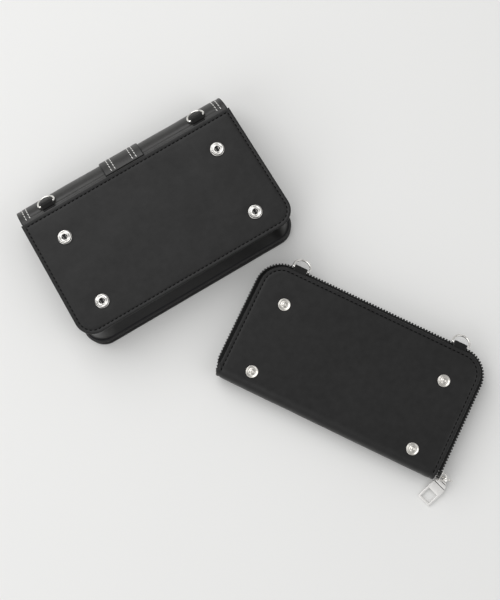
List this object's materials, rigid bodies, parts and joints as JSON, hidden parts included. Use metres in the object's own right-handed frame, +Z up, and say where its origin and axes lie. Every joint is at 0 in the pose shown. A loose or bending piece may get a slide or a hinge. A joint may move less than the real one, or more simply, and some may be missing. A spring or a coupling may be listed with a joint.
{
  "type": "chain wallet",
  "caption": "Black leather flap pouch with a zip-round long wallet that snaps onto its back, both with D-rings for a chain.",
  "frame": {"origin": "on the surface that the object lies on, under the centre of the four snap sockets of the pouch", "axes": "+X along the pouch's long side, +Y towards the pouch's folded top, +Z up out of the pouch's back"},
  "size_m": [0.262, 0.3692, 0.0426],
  "materials": {
    "leather": "smooth semi-matte black leather",
    "card_leather": "smooth thin black leather",
    "lining": "plain woven black lining",
    "zip_tape": "woven zip tape",
    "zip_teeth": "satin black moulded teeth",
    "nickel": "polished nickel plate",
    "magnet": "satin nickel plate",
    "black_thread": "waxed black thread",
    "white_thread": "waxed off-white thread"
  },
  "bodies": {
    "flap": {"flap_panel": "leather", "flap_lining": "lining", "flap_strap": "leather", "flap_magnet": "magnet", "flap_magnet_washer": "magnet", "pouch_ring_tab_left": "leather", "pouch_ring_tab_right": "leather"},
    "pouch": {"back_panel": "leather", "back_lining": "lining", "front_panel": "leather", "front_lining": "lining", "slip_pocket": "lining", "pouch_gusset": "leather", "snap_sockets": "nickel", "snap_springs": "nickel", "snap_socket_rivets": "nickel", "front_magnet": "magnet", "front_magnet_washer": "magnet"},
    "pouch_ring_left": {"pouch_d_ring_left": "nickel"},
    "pouch_ring_right": {"pouch_d_ring_right": "nickel"},
    "wallet_lower": {"wallet_lower_cover": "leather", "wallet_lower_lining": "lining", "wallet_lower_card_slots": "card_leather", "zip_tape_lower": "zip_tape", "zip_teeth_lower": "zip_teeth", "zip_stops": "nickel"},
    "wallet_upper": {"wallet_upper_cover": "leather", "wallet_upper_lining": "lining", "wallet_upper_card_slots": "card_leather", "zip_tape_upper": "zip_tape", "zip_teeth_upper": "zip_teeth", "snap_studs": "nickel", "snap_stud_rivets": "nickel", "wallet_ring_tab_left": "leather", "wallet_ring_tab_right": "leather"},
    "wallet_ring_left": {"wallet_d_ring_left": "nickel"},
    "wallet_ring_right": {"wallet_d_ring_right": "nickel"},
    "coin_pocket": {"coin_pocket_front": "lining", "coin_pocket_back": "lining", "coin_pocket_gusset": "lining", "coin_zip_tapes": "zip_tape", "coin_zip_teeth": "nickel"},
    "coin_slider": {"coin_zip_slider": "nickel"},
    "coin_pull": {"coin_zip_pull": "nickel"},
    "zip_slider": {"zip_slider": "nickel"},
    "pull_link": {"zip_pull_link": "nickel"},
    "pull_tab": {"zip_pull_tab": "nickel"}
  },
  "joints": [
    {"name": "pouch_open", "type": "hinge", "parent": "flap", "child": "pouch", "pos_m": [0, 0.05495, 0.0404], "axis": [-1, 0, 0], "range_deg": [0, 120]},
    {"name": "pouch_ring_left_swing", "type": "hinge", "parent": "flap", "child": "pouch_ring_left", "pos_m": [-0.0685, 0.06042, 0.04017], "axis": [1, 0, 0], "range_deg": [0, 125]},
    {"name": "pouch_ring_right_swing", "type": "hinge", "parent": "flap", "child": "pouch_ring_right", "pos_m": [0.0685, 0.06042, 0.04017], "axis": [1, 0, 0], "range_deg": [0, 125]},
    {"name": "wallet_lift", "type": "slide", "parent": "flap", "child": "wallet_lower", "axis": [0, 0, 1], "range_m": [0, 0.15]},
    {"name": "wallet_open", "type": "hinge", "parent": "wallet_lower", "child": "wallet_upper", "pos_m": [0.03054, -0.20083, 0.012], "axis": [0.5519, -0.8339, 0], "range_deg": [0, 150]},
    {"name": "coin_fan", "type": "hinge", "parent": "wallet_lower", "child": "coin_pocket", "pos_m": [0.03054, -0.20083, 0.012], "axis": [0.5519, -0.8339, 0], "range_deg": [0, 75]},
    {"name": "wallet_ring_left_swing", "type": "hinge", "parent": "wallet_upper", "child": "wallet_ring_left", "pos_m": [0.07913, -0.08473, 0.02], "axis": [0.5519, -0.8339, 0], "range_deg": [0, 140]},
    {"name": "wallet_ring_right_swing", "type": "hinge", "parent": "wallet_upper", "child": "wallet_ring_right", "pos_m": [0.1564, -0.20147, 0.02], "axis": [0.5519, -0.8339, 0], "range_deg": [0, 140]},
    {"name": "coin_zip_slide", "type": "slide", "parent": "coin_pocket", "child": "coin_slider", "axis": [-0.5519, 0.8339, 0], "range_m": [0, 0.148]},
    {"name": "coin_pull_swing", "type": "hinge", "parent": "coin_slider", "child": "coin_pull", "pos_m": [0.14626, -0.21478, 0.012], "axis": [0, 0, -1], "range_deg": [0, 90]},
    {"name": "zip_slide", "type": "slide", "parent": "wallet_lower", "child": "zip_slider", "axis": [0.8339, 0.5519, 0], "range_m": [0, 0.06]},
    {"name": "pull_turn", "type": "hinge", "parent": "zip_slider", "child": "pull_link", "pos_m": [0.09189, -0.28464, 0.012], "axis": [0, 0, 1], "range_deg": [0, 36.5]},
    {"name": "pull_swing", "type": "hinge", "parent": "pull_link", "child": "pull_tab", "pos_m": [0.09276, -0.28595, 0.00562], "axis": [-0.2334, 0.9724, 0], "range_deg": [0, 21]}
  ],
  "couplings": [
    {"joint": "coin_fan", "follows": "wallet_open", "ratio": 0.5},
    {"joint": "pull_turn", "follows": "zip_slide", "rad_per_m": 10.47}
  ]
}
